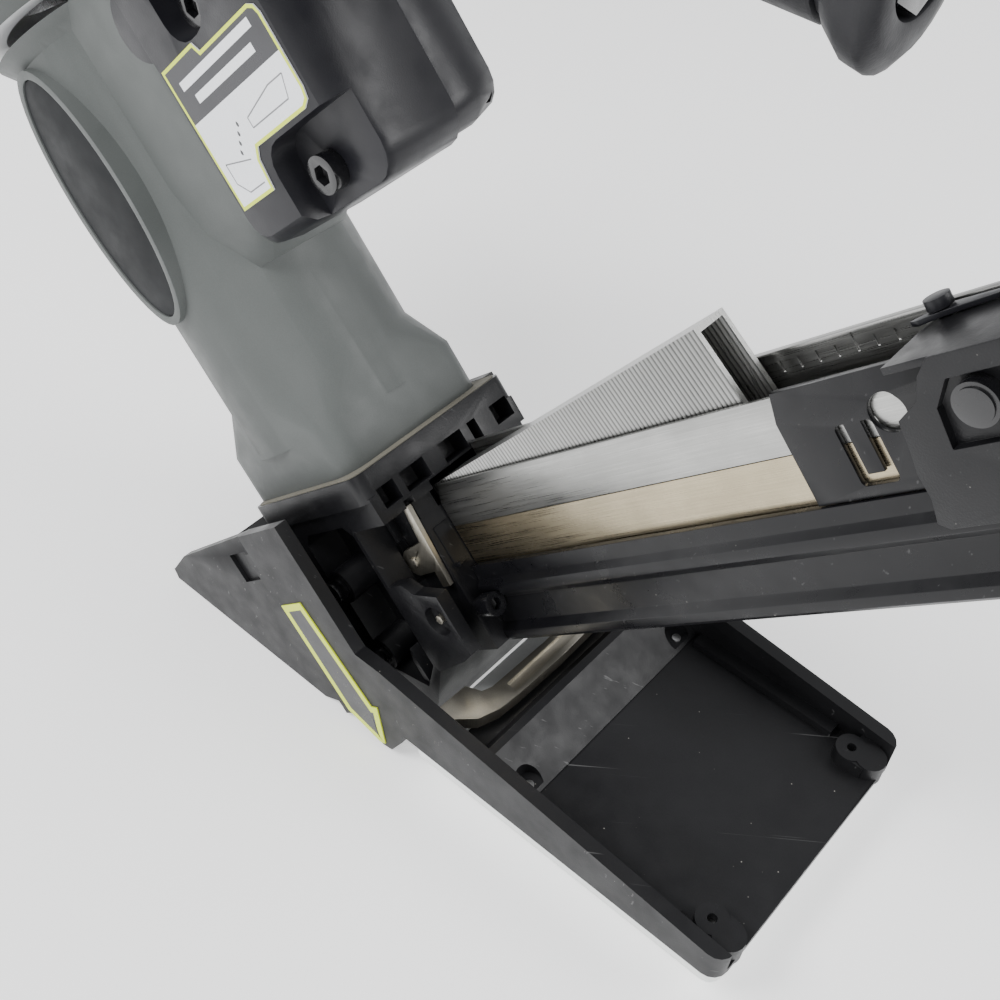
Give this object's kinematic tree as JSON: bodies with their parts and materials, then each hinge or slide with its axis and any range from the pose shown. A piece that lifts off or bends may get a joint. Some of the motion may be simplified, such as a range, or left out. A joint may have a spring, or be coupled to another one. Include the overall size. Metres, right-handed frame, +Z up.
{
  "type": "pneumatic flooring stapler",
  "caption": "Mallet-struck pneumatic flooring nailer: leaning driver body over a flat shoe, straight strip magazine, top grip with air inlet.",
  "frame": {"origin": "on the underside of the shoe, centre plane, at the board-edge notch", "axes": "+X towards the operator (rear), +Y to the far side of the tool, +Z up; the driver axis leans 45 degrees forward in the XZ plane"},
  "size_m": [0.4623, 0.1098, 0.3279],
  "materials": {
    "base_black": "satin black powder coat on cast aluminium, worn and scratched",
    "shoe_white": "smooth off-white moulded plastic",
    "zinc": "zinc plated, warm grey, fine brushed",
    "screw_black": "black oxide, slight gloss",
    "screw_steel": "plain steel",
    "label_yellow": "printed film, yellow-green line art",
    "label_white": "printed film, white with dark strip",
    "nose_black": "fine sand-cast black finish",
    "body_grey": "matte grey-green cast finish",
    "badge": "dark plain oval inlay",
    "black_plastic": "fine-textured glass-filled black plastic",
    "grip_rubber": "soft matte rubber",
    "seal": "black rubber",
    "gasket": "fibre gasket",
    "steel": "ground steel",
    "aluminium": "machined aluminium",
    "valve_white": "white acetal",
    "gold_plate": "straw-coloured anodised strip",
    "silver_plate": "brushed plated steel",
    "rail_black": "black anodised extrusion",
    "staple_steel": "bright drawn steel with a glue band"
  },
  "bodies": {
    "frame": {"base_casting": "base_black", "shoe_plate": "shoe_white", "shoe_screws": "screw_steel", "clamp_bar": "zinc", "arrow_labels": "label_yellow", "nose_casting": "nose_black", "driver_guide": "steel", "nose_side_screws": "screw_black", "flange_gasket": "gasket", "flange_bolts": "screw_black", "lever_pin": "zinc", "rail_bracket": "rail_black", "body_housing": "body_grey", "badge_plates": "badge", "cylinder_sleeve": "aluminium", "bumper": "seal", "head_gasket": "gasket", "head_cap": "nose_black", "head_cap_screws": "screw_black", "exhaust_cover": "body_grey", "exhaust_screws": "screw_black", "housing_shell_near": "black_plastic", "housing_shell_far": "black_plastic", "housing_screws": "screw_black", "oiling_label": "label_white", "handle_core": "aluminium", "grip_sleeve": "grip_rubber", "grip_pommel": "grip_rubber", "inlet_bushing": "screw_black", "inlet_seal": "seal", "mag_rail": "rail_black", "wear_plate": "gold_plate", "top_liner": "silver_plate", "scale_rail": "silver_plate", "mag_cover": "rail_black", "mag_end_cap": "black_plastic", "mag_screws": "screw_black", "mag_front_screw": "screw_black", "feed_tape": "steel", "strike_spring": "steel", "valve_spring": "steel"},
    "driver": {"driver_blade": "steel", "piston": "aluminium", "piston_ring": "seal"},
    "striker": {"strike_cap": "black_plastic", "strike_stem": "steel"},
    "valve": {"main_valve": "valve_white"},
    "pusher": {"pusher_carriage": "nose_black", "pusher_boss": "screw_black", "follower": "steel", "spring_roll_pin": "steel", "latch_knob": "black_plastic"},
    "roll": {"spring_roll": "steel"},
    "latch": {"pusher_latch": "black_plastic"},
    "lever": {"nose_lever": "zinc"},
    "strip": {"staple_strip": "staple_steel"}
  },
  "joints": [
    {"name": "driver_slide", "type": "slide", "parent": "frame", "child": "driver", "axis": [-0.7071, 0, 0.7071], "range_m": [-0.066, 0]},
    {"name": "strike_slide", "type": "slide", "parent": "frame", "child": "striker", "axis": [-0.7071, 0, 0.7071], "range_m": [-0.008, 0], "stiffness_N_per_m": 3000, "springref_m": 0.003, "deforming": ["strike_spring"]},
    {"name": "valve_slide", "type": "slide", "parent": "frame", "child": "valve", "axis": [-0.7071, 0, 0.7071], "range_m": [0, 0.004], "deforming": ["valve_spring"]},
    {"name": "pusher_slide", "type": "slide", "parent": "frame", "child": "pusher", "axis": [0.7071, 0, 0.7071], "range_m": [-0.047, 0]},
    {"name": "roll_spin", "type": "hinge", "parent": "pusher", "child": "roll", "pos_m": [0.15117, 0, 0.20824], "axis": [0, 1, 0], "range_deg": [-193, 0]},
    {"name": "latch_hinge", "type": "hinge", "parent": "pusher", "child": "latch", "pos_m": [0.09672, 0.0054, 0.21602], "axis": [-0.7071, 0, 0.7071], "range_deg": [-10, 5]},
    {"name": "lever_hinge", "type": "hinge", "parent": "frame", "child": "lever", "pos_m": [-0.0348, -0.0222, 0.04985], "axis": [0, 1, 0], "range_deg": [0, 5]},
    {"name": "strip_hinge", "type": "hinge", "parent": "frame", "child": "strip", "pos_m": [-0.01324, 0, 0.02333], "axis": [0, 1, 0], "range_deg": [0, 8.8]}
  ],
  "couplings": [
    {"joint": "valve_slide", "follows": "strike_slide", "ratio": -0.5},
    {"joint": "roll_spin", "follows": "pusher_slide", "rad_per_m": 71.429}
  ]
}
